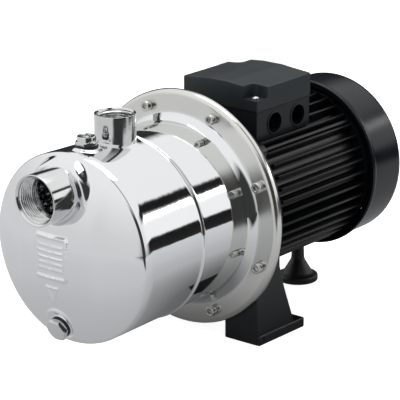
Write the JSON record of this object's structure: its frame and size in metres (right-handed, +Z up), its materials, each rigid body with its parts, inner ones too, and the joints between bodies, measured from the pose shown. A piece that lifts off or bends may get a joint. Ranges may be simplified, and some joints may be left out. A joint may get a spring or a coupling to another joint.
{
  "type": "shallow well jet pump",
  "caption": "Self-priming jet pump with a polished steel casing, threaded suction and discharge sockets, finned electric motor, terminal box, front feet and a rear rubber foot.",
  "frame": {"origin": "on the ground under the middle of the bounding box", "axes": "+Z up, the shaft along Y with the suction socket towards -Y and the fan cover towards +Y, +X to the right seen from the suction side, where the cable entries are"},
  "size_m": [0.224, 0.4384, 0.2315],
  "materials": {
    "polished_stainless": "mirror polished stainless steel",
    "zinc_steel": "zinc plated steel",
    "black_rubber": "matte",
    "black_painted_casting": "black painted aluminium casting",
    "technopolymer": "glass filled moulding",
    "black_plastic": "satin moulding",
    "charcoal_plastic": "satin moulding",
    "laminated_steel": "stacked laminations",
    "copper_winding": "varnished copper wire",
    "bright_steel": "ground",
    "carbon_seal": "lapped carbon",
    "ceramic_seal": "lapped ceramic",
    "white_plastic": "moulded"
  },
  "bodies": {
    "housing": {"casing_shell": "polished_stainless", "suction_socket": "polished_stainless", "discharge_socket": "polished_stainless", "flange_screw_1": "zinc_steel", "flange_screw_2": "zinc_steel", "flange_screw_3": "zinc_steel", "flange_screw_4": "zinc_steel", "flange_screw_5": "zinc_steel", "flange_screw_6": "zinc_steel", "flange_screw_7": "zinc_steel", "flange_screw_8": "zinc_steel", "casing_o_ring": "black_rubber", "casing_cover": "polished_stainless", "diffuser": "technopolymer", "ejector_body": "technopolymer", "jet_nozzle": "technopolymer", "seal_seat": "ceramic_seal", "front_bearing_outer": "bright_steel", "motor_bracket": "black_painted_casting", "rear_foot": "black_rubber", "rear_foot_stud": "zinc_steel", "motor_frame": "black_painted_casting", "rear_shield": "black_painted_casting", "rear_bearing_outer": "bright_steel", "preload_washer": "bright_steel", "tie_rod_1": "zinc_steel", "tie_rod_2": "zinc_steel", "tie_rod_3": "zinc_steel", "tie_rod_4": "zinc_steel", "stator_core": "laminated_steel", "stator_winding_front": "copper_winding", "stator_winding_rear": "copper_winding", "fan_cover": "black_plastic", "terminal_box": "charcoal_plastic", "terminal_box_gasket": "black_rubber", "terminal_box_lid": "charcoal_plastic", "lid_screw_1": "zinc_steel", "lid_screw_2": "zinc_steel", "terminal_block": "white_plastic", "capacitor": "white_plastic"},
    "rotor": {"shaft": "bright_steel", "impeller": "technopolymer", "impeller_nut": "zinc_steel", "impeller_key": "zinc_steel", "seal_ring": "carbon_seal", "seal_spring": "bright_steel", "water_slinger": "black_rubber", "front_bearing_inner": "bright_steel", "rear_bearing_inner": "bright_steel", "rotor_core": "laminated_steel", "cooling_fan": "black_plastic", "fan_clip": "bright_steel"},
    "front_ball_cage": {"front_bearing_balls": "bright_steel"},
    "rear_ball_cage": {"rear_bearing_balls": "bright_steel"},
    "priming_washer": {"priming_seal": "black_rubber"},
    "priming_plug": {"priming_plug": "polished_stainless"},
    "drain_washer": {"drain_seal": "black_rubber"},
    "drain_plug": {"drain_plug": "polished_stainless"}
  },
  "joints": [
    {"name": "rotor_spin", "type": "hinge", "parent": "housing", "child": "rotor", "pos_m": [0, -0.01715, 0.1195], "axis": [0, 1, 0], "continuous": true},
    {"name": "front_cage_spin", "type": "hinge", "parent": "housing", "child": "front_ball_cage", "pos_m": [0, 0.00585, 0.1195], "axis": [0, 1, 0], "continuous": true},
    {"name": "rear_cage_spin", "type": "hinge", "parent": "housing", "child": "rear_ball_cage", "pos_m": [0, 0.16545, 0.1195], "axis": [0, 1, 0], "continuous": true},
    {"name": "priming_washer_lift", "type": "slide", "parent": "housing", "child": "priming_washer", "axis": [0, 0, 1], "range_m": [0, 0.008]},
    {"name": "priming_plug_turn", "type": "hinge", "parent": "priming_washer", "child": "priming_plug", "pos_m": [0, -0.15115, 0.2095], "axis": [0, 0, 1], "range_deg": [0, 2160]},
    {"name": "drain_washer_lift", "type": "slide", "parent": "housing", "child": "drain_washer", "axis": [0, -0.9397, -0.342], "range_m": [0, 0.008]},
    {"name": "drain_plug_turn", "type": "hinge", "parent": "drain_washer", "child": "drain_plug", "pos_m": [0, -0.18615, 0.0525], "axis": [0, -0.9397, -0.342], "range_deg": [0, 2160]}
  ],
  "couplings": [
    {"joint": "front_cage_spin", "follows": "rotor_spin", "ratio": 0.384},
    {"joint": "rear_cage_spin", "follows": "rotor_spin", "ratio": 0.388},
    {"joint": "priming_plug_turn", "follows": "priming_washer_lift", "rad_per_m": 4699.5},
    {"joint": "drain_plug_turn", "follows": "drain_washer_lift", "rad_per_m": 4699.5}
  ]
}
